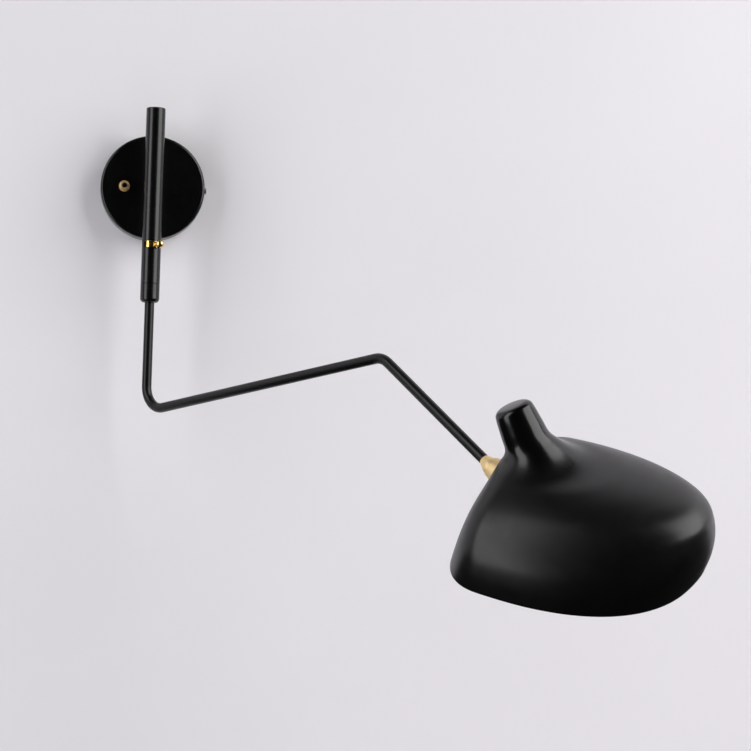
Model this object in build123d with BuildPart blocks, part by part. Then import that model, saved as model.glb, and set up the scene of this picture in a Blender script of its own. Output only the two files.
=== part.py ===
"""Adjustable wall lamp: wall canopy, upright pivot tube, bent arm and a ball-jointed shade.

Millimetres, +Z up. The wall is the plane Y = 0, the room lies towards -Y, and the origin is
the centre of the canopy's back.
"""

import os
from math import cos, pi, radians, sin, sqrt, tan

from build123d import *

os.makedirs("parts", exist_ok=True)

# Clearances, each on one side of a fit
press_gap = 0.02
slip_gap = 0.1
running_gap = 0.05
swing_gap = 0.3

# Every nut is a hexagon
hex_sides = 6

# Canopy, the round cup on the wall
canopy_dia = 110.0
canopy_depth = 25.0
canopy_wall = 1.2
canopy_fillet = 3.0

# Wall bracket inside the canopy
bracket_width = 24.0
bracket_thick = 2.0
tab_depth = 14.0
slot_spacing = 80.0
slot_count = 2
tab_count = 2
slot_length = 12.0
slot_width = 5.2
cable_hole_dia = 14.0

# Screw that holds the canopy on the bracket, on the right
side_screw_dia = 4.0
side_screw_head_dia = 7.0
side_screw_head = 2.2
side_screw_length = 9.0
side_screw_setback = 8.0
screw_slot_width = 1.0
screw_slot_depth = 0.9

# Earth screw on the bracket
earth_x = -14.0
earth_z = -8.0
earth_dia = 4.0
earth_head_dia = 7.0
earth_head = 2.4
earth_washer_dia = 9.0
earth_washer = 0.8

# Terminal block on the bracket
block_x = 19.0
block_length = 20.0
block_width = 18.0
block_height = 12.0
block_wall_gap = 6.0
block_edge = 1.0
terminal_screw_dia = 3.0
terminal_screw_sink = 2.0
terminal_screw_length = 3.0
terminal_row = 5.5

# Push switch on the canopy's face
switch_x = -30.0
switch_z = 0.0
switch_case_dia = 14.0
switch_case_depth = 11.0
switch_barrel_dia = 8.0
switch_collar_dia = 9.8
switch_collar_height = 7.0
switch_collar_lip = 1.0
switch_collar_bead = 2.0
switch_collar_round = 0.9
switch_washer_dia = 11.6
switch_washer = 1.2
knurl_count = 28
knurl_depth = 0.35
knurl_width = 0.5
button_dia = 5.0
button_crown = 0.6
button_proud = 2.0
button_travel = 1.5
button_foot_dia = 6.6
button_foot = 1.5
switch_tag_width = 3.0
switch_tag_thick = 0.8
switch_tag_length = 4.0
switch_tag_row = 3.4
switch_lead_dia = 1.8
switch_lead_rise = 2.5
switch_lead_bend_share = 0.6
switch_lead_end = 4.0

# Upright tube in front of the canopy, and the post that carries it
tube_dia = 20.0
tube_wall = 1.5
tube_standoff = 52.0
tube_top = 80.2
tube_bottom = -59.9
tube_bevel = 0.8
top_plug = 5.0
top_plug_sink = 0.4
post_dia = 15.0
post_thread_dia = 10.0
post_bore = 7.0
post_tail = 10.0
post_washer_dia = 18.0
post_washer = 1.0
post_nut_across = 16.0
post_nut = 4.0

# Swivel: brass ring in a notched sleeve, and rounded cap, turning on a fixed spindle
ring_height = 6.5
notch_left = 143.0
notch_right = 32.0
ring_spigot = 10.0
sleeve_bottom = -104.4
cap_bottom = -124.4
cap_fillet = 4.4
cap_spigot = 4.0
seam_bevel = 0.35
spindle_plug = 30.0
spindle_dia = 12.0
spindle_bore = 7.0
spindle_thread_dia = 10.0
spindle_shoulder = -92.0
spindle_washer_dia = 15.6
spindle_washer = 1.0
spindle_nut_across = 13.0
spindle_nut = 4.0
spindle_tail = 1.0
bush_height = 8.0
lock_azimuth = 56.0
lock_ball_dia = 8.8
lock_ball_reach = 14.9
lock_shank_dia = 4.0
lock_neck_dia = 5.2

# Bent arm, a tube in one upright plane
arm_azimuth = 52.0
rod_dia = 10.0
rod_bore = 7.0
rod_seat = 17.0
bend_radius = 23.0
bend_low = -238.0
run_out = 345.0
run_rise = 52.5
run_end = 133.0
run_drop = 94.0
grub_dia = 4.0
grub_rise = 11.0

# Insulated lead inside the lamp
lead_dia = 3.4
lead_bend = 6.0
lead_entry = 6.0
lead_gap = 1.0

# Ball joint at the rod's end
cone_flare = 19.4
cone_tail = 12.0
cone_tail_bore = 4.6
ball_dia = 10.4
ball_reach = 10.0
ball_bore = 4.2
stem_dia = 6.0
stud_collar_dia = 8.0
stud_collar = 0.8
seat_wall = 0.7
keeper_start = 0.4
keeper_end = 2.5
keeper_spigot = 2.0
keeper_dia = 14.2
cup_gap = 0.4
cup_rim = 0.4
cup_rim_wall = 0.6
cup_flare = 20.0
cup_floor = 5.9
cup_turn_gap = 0.1

# Shade: a flat oval mouth, a dome, and a hollow knob that leans back
shade_yaw = 38.0
shade_pitch = -13.0
shade_roll = 27.5
shade_front = 171.4
shade_back = 53.6
shade_half_width = 104.0
shade_widest = 7.9
shade_height = 88.7
shade_wall = 1.4
front_fullness = 12.7
front_tuck = 11.0
tuck_rise = 0.54
side_fullness = 3.25
mouth_squareness = 0.4
knob_neck = 22.4
knob_top = 17.9
knob_height = 44.6
knob_edge = 7.1
knob_lean = 26.0
neck_fillet = 9.8
neck_turn = 45.0
neck_lean_share = 0.87
dome_lean_rate = 0.5
dome_lean_onset = 3
outline_points = 24
joint_height = 57.4
joint_offset = 9.3
shade_washer_dia = 24.0
joint_washer_dia = 14.0
joint_washer = 1.6
stud_nut_across = 10.0
stud_nut = 3.5

# Lampholder and bulb, in line with the ball's stem
holder_dia = 27.0
holder_wall = 1.8
holder_cap = 10.0
holder_skirt = 22.0
holder_base = 3.0
holder_rim = 1.0
thread_shell_dia = 15.6
thread_shell_wall = 0.6
thread_shell_length = 18.0
contact_dia = 6.0
contact_height = 1.2
bulb_cap_dia = 13.6
bulb_cap_length = 16.0
bulb_tip_dia = 5.0
bulb_tip = 2.5
bulb_dia = 45.0
bulb_neck_dia = 13.0
bulb_centre = 24.0
bulb_shoulder = 38.0

# Worked-out places and directions
canopy_inner = canopy_dia / 2 - canopy_wall
face_back = canopy_depth - canopy_wall
bracket_length = 2 * sqrt((canopy_inner - swing_gap) ** 2 - (bracket_width / 2) ** 2)
tube_bore = tube_dia - 2 * tube_wall
tube_axis = (0, -tube_standoff)
ring_top = tube_bottom - swing_gap
notch_bottom = ring_top - ring_height
notch_reach = tube_dia / cos(radians(notch_left - notch_right) / 2)
lock_neck_start = tube_bore / 2 + swing_gap
spindle_end = spindle_shoulder - spindle_washer - spindle_nut - spindle_tail
rod_top = cap_bottom + rod_seat
arm_dir = Vector(cos(radians(arm_azimuth)), -sin(radians(arm_azimuth)), 0)
arm_side = Vector(-sin(radians(arm_azimuth)), -cos(radians(arm_azimuth)), 0)
arm_plane = Plane(origin=(*tube_axis, 0), x_dir=arm_dir, z_dir=arm_side)
elbow_low = (0, bend_low)
elbow_high = (run_out, bend_low + run_rise)
rod_tip = (run_out + run_end, bend_low + run_rise - run_drop)
rod_end = arm_plane.from_local_coords(Vector(*rod_tip, 0))
rod_dir = (arm_dir * run_end - Vector(0, 0, run_drop)).normalized()
cone_plane = Plane(origin=rod_end, x_dir=arm_side, z_dir=rod_dir)
ball_centre = rod_end + rod_dir * ball_reach
ball_gap_dia = ball_dia + 2 * swing_gap
seat_dia = ball_gap_dia + 2 * seat_wall
seat_room = seat_dia + 2 * swing_gap
flare = radians(cone_flare)
cone_end = (rod_dia / 2 + ball_reach * tan(flare)) * cos(flare)
cone_run = ball_reach - cone_end * sin(flare)
cup_room = cone_end + cup_gap

yaw = radians(shade_yaw)
pitch = radians(shade_pitch)
shade_forward = Vector(cos(pitch) * cos(yaw), -cos(pitch) * sin(yaw), sin(pitch))
shade_level = Vector(-sin(pitch) * cos(yaw), sin(pitch) * sin(yaw), cos(pitch))
shade_up = shade_level.rotate(Axis((0, 0, 0), shade_forward), shade_roll)
back_slant = Vector(shade_back - knob_neck, 0, shade_height).normalized()
back_foot = knob_neck + (shade_back - knob_neck) * (1 - joint_height / shade_height)
stud_dir = shade_forward * back_slant.Z - shade_up * back_slant.X
shade_origin = ball_centre + stud_dir * joint_offset + shade_forward * back_foot - shade_up * joint_height
dome_lean_share = dome_lean_rate * shade_height / shade_front
shade_plane = Plane(origin=shade_origin, x_dir=shade_forward, z_dir=shade_up)
stud_plane = Plane(origin=ball_centre, x_dir=shade_plane.y_dir, z_dir=stud_dir)
washer_face = joint_offset - joint_washer
inner_face = joint_offset + shade_wall + joint_washer
nut_face = inner_face + stud_nut
skirt_start = nut_face + holder_cap
shell_start = skirt_start + holder_base
bulb_start = shell_start + contact_height
glass_start = bulb_start + bulb_tip + bulb_cap_length


# Canopy

with BuildPart() as canopy:
    with BuildSketch(Plane.XZ):
        Circle(canopy_dia / 2)
    extrude(amount=canopy_depth)
    fillet(canopy.faces().sort_by(Axis.Y)[0].edges(), radius=canopy_fillet)
    offset(amount=-canopy_wall, openings=canopy.faces().sort_by(Axis.Y)[-1])
    with BuildSketch(Plane.XZ):
        Circle(post_thread_dia / 2 + slip_gap)
        with Locations((switch_x, switch_z)):
            Circle(switch_barrel_dia / 2 + slip_gap)
    extrude(amount=canopy_depth, mode=Mode.SUBTRACT)
    with BuildSketch(Plane.YZ):
        with Locations((-side_screw_setback, 0)):
            Circle(side_screw_dia / 2 + slip_gap)
    extrude(amount=canopy_dia, mode=Mode.SUBTRACT)
canopy.part.label = "canopy"
export_step(canopy.part, "parts/canopy.step")


# Wall bracket, a strip with turned-up ends

with BuildPart() as wall_bracket:
    with BuildSketch(Plane.XZ):
        Rectangle(bracket_length, bracket_width)
        Circle(cable_hole_dia / 2, mode=Mode.SUBTRACT)
        with GridLocations(slot_spacing, 0, slot_count, 1):
            SlotOverall(slot_length, slot_width, mode=Mode.SUBTRACT)
        with Locations((earth_x, earth_z)):
            Circle(earth_dia / 2 + press_gap, mode=Mode.SUBTRACT)
    extrude(amount=bracket_thick)
    with BuildSketch(Plane.XZ.offset(bracket_thick)):
        with GridLocations(bracket_length - bracket_thick, 0, tab_count, 1):
            Rectangle(bracket_thick, bracket_width)
    extrude(amount=tab_depth - bracket_thick)
    with BuildSketch(Plane.YZ):
        with Locations((-side_screw_setback, 0)):
            Circle(side_screw_dia / 2 + press_gap)
    extrude(amount=canopy_dia, mode=Mode.SUBTRACT)
wall_bracket.part.label = "wall_bracket"
export_step(wall_bracket.part, "parts/wall_bracket.step")


# Canopy screw, a pan head on the right

screw_seat = Plane(origin=(canopy_dia / 2, -side_screw_setback, 0), x_dir=(0, 1, 0), z_dir=(1, 0, 0))
with BuildPart() as canopy_side_screw:
    with BuildSketch(screw_seat):
        Circle(side_screw_head_dia / 2)
    extrude(amount=side_screw_head)
    with BuildSketch(screw_seat):
        Circle(side_screw_dia / 2)
    extrude(amount=-side_screw_length)
    with BuildSketch(screw_seat.offset(side_screw_head)):
        Rectangle(screw_slot_width, side_screw_head_dia)
    extrude(amount=-screw_slot_depth, mode=Mode.SUBTRACT)
canopy_side_screw.part.label = "canopy_side_screw"
export_step(canopy_side_screw.part, "parts/canopy_side_screw.step")


# Earth screw with its washer

with BuildPart() as earth_screw:
    with BuildSketch(Plane.XZ.offset(bracket_thick)):
        with Locations((earth_x, earth_z)):
            Circle(earth_washer_dia / 2)
    extrude(amount=earth_washer)
    with BuildSketch(Plane.XZ.offset(bracket_thick + earth_washer)):
        with Locations((earth_x, earth_z)):
            Circle(earth_head_dia / 2)
    extrude(amount=earth_head)
    with BuildSketch(Plane.XZ.offset(bracket_thick)):
        with Locations((earth_x, earth_z)):
            Circle(earth_dia / 2)
    extrude(amount=-bracket_thick)
    with BuildSketch(Plane.XZ.offset(bracket_thick + earth_washer + earth_head)):
        with Locations((earth_x, earth_z)):
            Rectangle(screw_slot_width, earth_head_dia)
    extrude(amount=-screw_slot_depth, mode=Mode.SUBTRACT)
earth_screw.part.label = "earth_screw"
export_step(earth_screw.part, "parts/earth_screw.step")


# Terminal block and its screws

block_front = bracket_thick + block_height
lead_level = bracket_thick + block_wall_gap
switch_rows = [switch_z + switch_tag_row, switch_z - switch_tag_row]
switch_lead_level = bracket_thick + switch_lead_rise
with BuildPart() as terminal_block:
    with BuildSketch(Plane.XZ.offset(bracket_thick)):
        with Locations((block_x, 0)):
            Rectangle(block_length, block_width)
    extrude(amount=block_height)
    fillet(terminal_block.edges().filter_by(Axis.Y), radius=block_edge)
    with BuildSketch(Plane.XZ.offset(block_front)):
        with Locations((block_x, terminal_row), (block_x, -terminal_row)):
            Circle(terminal_screw_dia / 2 + press_gap)
    extrude(amount=-terminal_screw_sink - terminal_screw_length, mode=Mode.SUBTRACT)
    with BuildSketch(Plane.YZ.offset(block_x - block_length / 2)):
        with Locations((-lead_level, 0)):
            Circle(lead_dia / 2 + slip_gap)
        with Locations((-switch_lead_level, switch_rows[0]), (-switch_lead_level, switch_rows[1])):
            Circle(switch_lead_dia / 2 + slip_gap)
    extrude(amount=lead_entry, mode=Mode.SUBTRACT)
terminal_block.part.label = "terminal_block"
export_step(terminal_block.part, "parts/terminal_block.step")

with BuildPart() as terminal_screws:
    for row in (terminal_row, -terminal_row):
        with BuildSketch(Plane.XZ.offset(block_front - terminal_screw_sink)):
            with Locations((block_x, row)):
                Circle(terminal_screw_dia / 2)
        extrude(amount=-terminal_screw_length)
        with BuildSketch(Plane.XZ.offset(block_front - terminal_screw_sink)):
            with Locations((block_x, row)):
                Rectangle(screw_slot_width, terminal_screw_dia)
        extrude(amount=-screw_slot_depth, mode=Mode.SUBTRACT)
terminal_screws.part.label = "terminal_screws"
export_step(terminal_screws.part, "parts/terminal_screws.step")


# Push switch: case and barrel, tags, washer, knurled collar, button

switch_spot = (switch_x, switch_z)
collar_start = canopy_depth + switch_washer
barrel_end = collar_start + switch_collar_height - switch_collar_lip
button_bore = button_dia / 2 + slip_gap
foot_room = button_travel + button_foot + swing_gap
with BuildPart() as switch_body:
    with BuildSketch(Plane.XZ.offset(face_back)):
        with Locations(switch_spot):
            Circle(switch_case_dia / 2)
    extrude(amount=-switch_case_depth)
    with BuildSketch(Plane.XZ.offset(face_back)):
        with Locations(switch_spot):
            Circle(switch_barrel_dia / 2)
    extrude(amount=barrel_end - face_back)
    with BuildSketch(Plane.XZ.offset(barrel_end)):
        with Locations(switch_spot):
            Circle(button_bore)
    extrude(amount=face_back - barrel_end, mode=Mode.SUBTRACT)
    with BuildSketch(Plane.XZ.offset(face_back)):
        with Locations(switch_spot):
            Circle(button_foot_dia / 2 + swing_gap)
    extrude(amount=-foot_room, mode=Mode.SUBTRACT)
switch_body.part.label = "switch_body"
export_step(switch_body.part, "parts/switch_body.step")

case_back = face_back - switch_case_depth
with BuildPart() as switch_tags:
    with BuildSketch(Plane.XZ.offset(case_back)):
        with Locations((switch_x, switch_rows[0]), (switch_x, switch_rows[1])):
            Rectangle(switch_tag_width, switch_tag_thick)
    extrude(amount=-switch_tag_length)
switch_tags.part.label = "switch_tags"
export_step(switch_tags.part, "parts/switch_tags.step")

with BuildPart() as switch_washer_ring:
    with BuildSketch(Plane.XZ.offset(canopy_depth)):
        with Locations(switch_spot):
            Circle(switch_washer_dia / 2)
            Circle(switch_barrel_dia / 2 + press_gap, mode=Mode.SUBTRACT)
    extrude(amount=switch_washer)
switch_washer_ring.part.label = "switch_washer"
export_step(switch_washer_ring.part, "parts/switch_washer.step")

with BuildPart() as switch_collar:
    with BuildSketch(Plane.XZ.offset(collar_start)):
        with Locations(switch_spot):
            Circle(switch_collar_dia / 2)
            with PolarLocations(switch_collar_dia / 2, knurl_count):
                Rectangle(2 * knurl_depth, knurl_width, mode=Mode.SUBTRACT)
    extrude(amount=switch_collar_height - switch_collar_bead)
    with BuildSketch(Plane.XZ.offset(collar_start + switch_collar_height - switch_collar_bead)):
        with Locations(switch_spot):
            Circle(switch_collar_dia / 2)
    extrude(amount=switch_collar_bead)
    fillet(switch_collar.faces().sort_by(Axis.Y)[0].edges(), radius=switch_collar_round)
    with BuildSketch(Plane.XZ.offset(collar_start)):
        with Locations(switch_spot):
            Circle(switch_barrel_dia / 2 + press_gap)
    extrude(amount=switch_collar_height - switch_collar_lip, mode=Mode.SUBTRACT)
    with BuildSketch(Plane.XZ.offset(collar_start)):
        with Locations(switch_spot):
            Circle(button_bore)
    extrude(amount=switch_collar_height, mode=Mode.SUBTRACT)
switch_collar.part.label = "switch_collar"
export_step(switch_collar.part, "parts/switch_collar.step")

button_end = collar_start + switch_collar_height + button_proud
with BuildPart() as switch_button:
    with BuildSketch(Plane.XZ.offset(button_end)):
        with Locations(switch_spot):
            Circle(button_dia / 2)
    extrude(amount=face_back - button_end)
    fillet(switch_button.faces().sort_by(Axis.Y)[0].edges(), radius=button_crown)
    with BuildSketch(Plane.XZ.offset(face_back)):
        with Locations(switch_spot):
            Circle(button_foot_dia / 2)
    extrude(amount=-button_foot)
switch_button.part.label = "switch_button"
export_step(switch_button.part, "parts/switch_button.step")

tag_tip = case_back - switch_tag_length
switch_lead_bend = (tag_tip - switch_lead_level) * switch_lead_bend_share
with BuildPart() as switch_leads:
    for row in switch_rows:
        with BuildLine():
            FilletPolyline(
                (switch_x, -tag_tip, row),
                (switch_x, -switch_lead_level, row),
                (block_x - block_length / 2 + switch_lead_end, -switch_lead_level, row),
                radius=switch_lead_bend,
            )
        with BuildSketch(Plane(origin=(switch_x, -tag_tip, row), z_dir=(0, 1, 0))):
            Circle(switch_lead_dia / 2)
        sweep()
switch_leads.part.label = "switch_leads"
export_step(switch_leads.part, "parts/switch_leads.step")


# Post from the canopy's face to the upright tube

post_end = face_back - post_washer - post_tail
with BuildPart() as tube_post:
    with BuildSketch(Plane.XZ.offset(canopy_depth)):
        Circle(post_dia / 2)
    extrude(amount=tube_standoff - canopy_depth)
    with BuildSketch(Plane.XY):
        with Locations(tube_axis):
            Circle(tube_dia / 2 + press_gap)
    extrude(amount=post_dia, both=True, mode=Mode.SUBTRACT)
    with BuildSketch(Plane.XZ.offset(post_end)):
        Circle(post_thread_dia / 2)
    extrude(amount=tube_standoff - tube_bore / 2 - post_end)
    with BuildSketch(Plane.XZ):
        Circle(post_bore / 2)
    extrude(amount=tube_standoff, mode=Mode.SUBTRACT)
tube_post.part.label = "tube_post"
export_step(tube_post.part, "parts/tube_post.step")

with BuildPart() as post_washer_ring:
    with BuildSketch(Plane.XZ.offset(face_back)):
        Circle(post_washer_dia / 2)
        Circle(post_thread_dia / 2 + press_gap, mode=Mode.SUBTRACT)
    extrude(amount=-post_washer)
post_washer_ring.part.label = "post_washer"
export_step(post_washer_ring.part, "parts/post_washer.step")

with BuildPart() as post_hex_nut:
    with BuildSketch(Plane.XZ.offset(face_back - post_washer)):
        RegularPolygon(post_nut_across / 2, hex_sides, major_radius=False)
        Circle(post_thread_dia / 2 + press_gap, mode=Mode.SUBTRACT)
    extrude(amount=-post_nut)
post_hex_nut.part.label = "post_nut"
export_step(post_hex_nut.part, "parts/post_nut.step")


# Upright tube and its top plug

with BuildPart() as pivot_tube:
    with BuildSketch(Plane.XY.offset(tube_bottom)):
        with Locations(tube_axis):
            Circle(tube_dia / 2)
            Circle(tube_bore / 2, mode=Mode.SUBTRACT)
    extrude(amount=tube_top - tube_bottom)
    chamfer(pivot_tube.faces().sort_by(Axis.Z)[-1].outer_wire().edges(), length=tube_bevel)
    with BuildSketch(Plane.XZ):
        Circle(post_thread_dia / 2 + press_gap)
    extrude(amount=tube_standoff, mode=Mode.SUBTRACT)
pivot_tube.part.label = "pivot_tube"
export_step(pivot_tube.part, "parts/pivot_tube.step")

with BuildPart() as tube_top_plug:
    with BuildSketch(Plane.XY.offset(tube_top - top_plug_sink)):
        with Locations(tube_axis):
            Circle(tube_bore / 2 - press_gap)
    extrude(amount=-top_plug)
tube_top_plug.part.label = "tube_top_plug"
export_step(tube_top_plug.part, "parts/tube_top_plug.step")


# Fixed spindle with its washer and nut

with BuildPart() as pivot_spindle:
    with BuildSketch(Plane.XY.offset(tube_bottom)):
        with Locations(tube_axis):
            Circle(tube_bore / 2 - press_gap)
    extrude(amount=spindle_plug)
    with BuildSketch(Plane.XY.offset(tube_bottom)):
        with Locations(tube_axis):
            Circle(spindle_dia / 2)
    extrude(amount=spindle_shoulder - tube_bottom)
    with BuildSketch(Plane.XY.offset(spindle_shoulder)):
        with Locations(tube_axis):
            Circle(spindle_thread_dia / 2)
    extrude(amount=spindle_end - spindle_shoulder)
    with BuildSketch(Plane.XY.offset(spindle_end)):
        with Locations(tube_axis):
            Circle(spindle_bore / 2)
    extrude(amount=tube_bottom + spindle_plug - spindle_end, mode=Mode.SUBTRACT)
pivot_spindle.part.label = "pivot_spindle"
export_step(pivot_spindle.part, "parts/pivot_spindle.step")

with BuildPart() as spindle_washer_ring:
    with BuildSketch(Plane.XY.offset(spindle_shoulder)):
        with Locations(tube_axis):
            Circle(spindle_washer_dia / 2)
            Circle(spindle_thread_dia / 2 + press_gap, mode=Mode.SUBTRACT)
    extrude(amount=-spindle_washer)
spindle_washer_ring.part.label = "spindle_washer"
export_step(spindle_washer_ring.part, "parts/spindle_washer.step")

with BuildPart() as spindle_hex_nut:
    with BuildSketch(Plane.XY.offset(spindle_shoulder - spindle_washer)):
        with Locations(tube_axis):
            RegularPolygon(spindle_nut_across / 2, hex_sides, major_radius=False)
            Circle(spindle_thread_dia / 2 + press_gap, mode=Mode.SUBTRACT)
    extrude(amount=-spindle_nut)
spindle_hex_nut.part.label = "spindle_nut"
export_step(spindle_hex_nut.part, "parts/spindle_nut.step")


# Turning ring, sleeve, lower bush and rounded cap

lock_level = ring_top - ring_height / 2
lock_dir = Vector(cos(radians(lock_azimuth)), -sin(radians(lock_azimuth)), 0)
lock_plane = Plane(origin=(*tube_axis, lock_level), x_dir=(0, 0, 1), z_dir=lock_dir)
with BuildPart() as lock_ring:
    with BuildSketch(Plane.XY.offset(ring_top)):
        with Locations(tube_axis):
            Circle(tube_bore / 2 - press_gap)
            Circle(spindle_dia / 2 + running_gap, mode=Mode.SUBTRACT)
    extrude(amount=-ring_height - ring_spigot)
    with BuildSketch(lock_plane):
        Circle(lock_shank_dia / 2 + running_gap)
    extrude(amount=tube_dia, mode=Mode.SUBTRACT)
lock_ring.part.label = "lock_ring"
export_step(lock_ring.part, "parts/lock_ring.step")

with BuildPart(lock_plane) as lock_screw:
    with Locations((0, 0, lock_ball_reach)):
        Sphere(lock_ball_dia / 2)
    with BuildSketch(lock_plane.offset(lock_neck_start)):
        Circle(lock_neck_dia / 2)
    extrude(amount=lock_ball_reach - lock_neck_start)
    with BuildSketch(lock_plane.offset(spindle_dia / 2 + swing_gap)):
        Circle(lock_shank_dia / 2)
    extrude(amount=lock_ball_reach - spindle_dia / 2 - swing_gap)
lock_screw.part.label = "lock_screw"
export_step(lock_screw.part, "parts/lock_screw.step")

notch_corners = [
    (notch_reach * cos(radians(side)), -notch_reach * sin(radians(side)))
    for side in (notch_left, notch_right)
]
with BuildPart() as swivel_sleeve:
    with BuildSketch(Plane.XY.offset(ring_top)):
        with Locations(tube_axis):
            Circle(tube_dia / 2)
            Circle(tube_bore / 2, mode=Mode.SUBTRACT)
    extrude(amount=sleeve_bottom - ring_top)
    chamfer(swivel_sleeve.faces().sort_by(Axis.Z)[0].outer_wire().edges(), length=seam_bevel)
    with BuildSketch(Plane.XY.offset(notch_bottom)):
        with Locations(tube_axis):
            Polygon((0, 0), *notch_corners, align=None)
    extrude(amount=ring_height, mode=Mode.SUBTRACT)
swivel_sleeve.part.label = "swivel_sleeve"
export_step(swivel_sleeve.part, "parts/swivel_sleeve.step")

with BuildPart() as sleeve_bush:
    with BuildSketch(Plane.XY.offset(spindle_shoulder + swing_gap)):
        with Locations(tube_axis):
            Circle(tube_bore / 2 - press_gap)
            Circle(spindle_dia / 2 + running_gap, mode=Mode.SUBTRACT)
    extrude(amount=bush_height)
sleeve_bush.part.label = "sleeve_bush"
export_step(sleeve_bush.part, "parts/sleeve_bush.step")

grub_level = cap_bottom + grub_rise
grub_plane = Plane(origin=(*tube_axis, grub_level), x_dir=(0, 0, 1), z_dir=-arm_dir)
with BuildPart() as sleeve_cap:
    with BuildSketch(Plane.XY.offset(sleeve_bottom)):
        with Locations(tube_axis):
            Circle(tube_dia / 2)
    extrude(amount=cap_bottom - sleeve_bottom)
    fillet(sleeve_cap.faces().sort_by(Axis.Z)[0].edges(), radius=cap_fillet)
    chamfer(sleeve_cap.faces().sort_by(Axis.Z)[-1].edges(), length=seam_bevel)
    with BuildSketch(Plane.XY.offset(sleeve_bottom)):
        with Locations(tube_axis):
            Circle(tube_bore / 2 - press_gap)
    extrude(amount=cap_spigot)
    with BuildSketch(Plane.XY.offset(cap_bottom)):
        with Locations(tube_axis):
            Circle(rod_dia / 2 + press_gap)
    extrude(amount=rod_seat, mode=Mode.SUBTRACT)
    with BuildSketch(Plane.XY.offset(cap_bottom)):
        with Locations(tube_axis):
            Circle(rod_bore / 2)
    extrude(amount=sleeve_bottom + cap_spigot - cap_bottom, mode=Mode.SUBTRACT)
    with BuildSketch(grub_plane):
        Circle(grub_dia / 2 + press_gap)
    extrude(amount=tube_dia, mode=Mode.SUBTRACT)
sleeve_cap.part.label = "sleeve_cap"
export_step(sleeve_cap.part, "parts/sleeve_cap.step")

grub_inner = rod_dia / 2 + slip_gap
grub_outer = tube_dia / 2 - slip_gap
with BuildPart() as cap_grub_screw:
    with BuildSketch(grub_plane.offset(grub_inner)):
        Circle(grub_dia / 2)
    extrude(amount=grub_outer - grub_inner)
    with BuildSketch(grub_plane.offset(grub_outer)):
        Rectangle(screw_slot_width, grub_dia)
    extrude(amount=-screw_slot_depth, mode=Mode.SUBTRACT)
cap_grub_screw.part.label = "cap_grub_screw"
export_step(cap_grub_screw.part, "parts/cap_grub_screw.step")


# Bent arm

with BuildPart() as arm_rod:
    with BuildLine(arm_plane):
        FilletPolyline((0, rod_top), elbow_low, elbow_high, rod_tip, radius=bend_radius)
    with BuildSketch(Plane(origin=(*tube_axis, rod_top), z_dir=(0, 0, -1))):
        Circle(rod_dia / 2)
        Circle(rod_bore / 2, mode=Mode.SUBTRACT)
    sweep()
arm_rod.part.label = "arm_rod"
export_step(arm_rod.part, "parts/arm_rod.step")


# Lead in the fixed tube, in the arm, and through the ball into the shade

lead_start = (block_x - block_length / 2 + lead_entry, -lead_level, 0)
with BuildPart() as tube_lead:
    with BuildLine():
        FilletPolyline(
            lead_start,
            (0, -lead_level, 0),
            (*tube_axis, 0),
            (*tube_axis, spindle_end),
            radius=lead_bend,
        )
    with BuildSketch(Plane(origin=lead_start, z_dir=(-1, 0, 0))):
        Circle(lead_dia / 2)
    sweep()
tube_lead.part.label = "tube_lead"
export_step(tube_lead.part, "parts/tube_lead.step")

arm_lead_top = spindle_end - lead_gap
arm_lead_tip = (rod_tip[0] + lead_gap * rod_dir.dot(arm_dir), rod_tip[1] + lead_gap * rod_dir.Z)
with BuildPart() as arm_lead:
    with BuildLine(arm_plane):
        FilletPolyline((0, arm_lead_top), elbow_low, elbow_high, arm_lead_tip, radius=bend_radius)
    with BuildSketch(Plane(origin=(*tube_axis, arm_lead_top), z_dir=(0, 0, -1))):
        Circle(lead_dia / 2)
    sweep()
arm_lead.part.label = "arm_lead"
export_step(arm_lead.part, "parts/arm_lead.step")

with BuildPart() as shade_lead:
    with BuildSketch(stud_plane):
        Circle(lead_dia / 2)
    extrude(amount=skirt_start)
shade_lead.part.label = "shade_lead"
export_step(shade_lead.part, "parts/shade_lead.step")


# Ball joint: round-ended cone on the rod, friction seat, keeper, hollow ball stud and outer cup

with BuildPart(cone_plane) as joint_cone:
    Cone(rod_dia / 2, cone_end * cos(flare), cone_run, align=(Align.CENTER, Align.CENTER, Align.MIN))
    with Locations((0, 0, ball_reach)):
        Sphere(cone_end)
        Sphere(seat_room / 2, mode=Mode.SUBTRACT)
    with BuildSketch(cone_plane.offset(ball_reach + keeper_start)):
        Circle(2 * cone_end)
    extrude(amount=2 * cone_end, mode=Mode.SUBTRACT)
    with BuildSketch(cone_plane.offset(ball_reach + keeper_start)):
        Circle(keeper_dia / 2 + press_gap)
    extrude(amount=-keeper_spigot, mode=Mode.SUBTRACT)
    with BuildSketch(cone_plane):
        Circle(rod_bore / 2 - press_gap)
    extrude(amount=-cone_tail)
    with BuildSketch(cone_plane.offset(-cone_tail)):
        Circle(cone_tail_bore / 2)
    extrude(amount=cone_tail + ball_reach, mode=Mode.SUBTRACT)
joint_cone.part.label = "joint_cone"
export_step(joint_cone.part, "parts/joint_cone.step")

with BuildPart(cone_plane) as ball_seat:
    with Locations((0, 0, ball_reach)):
        Sphere(seat_dia / 2)
        Sphere(ball_gap_dia / 2, mode=Mode.SUBTRACT)
    with BuildSketch(cone_plane.offset(ball_reach)):
        Circle(seat_dia)
    extrude(amount=seat_dia, mode=Mode.SUBTRACT)
    with BuildSketch(cone_plane):
        Circle(cone_tail_bore / 2)
    extrude(amount=ball_reach, mode=Mode.SUBTRACT)
ball_seat.part.label = "ball_seat"
export_step(ball_seat.part, "parts/ball_seat.step")

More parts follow.
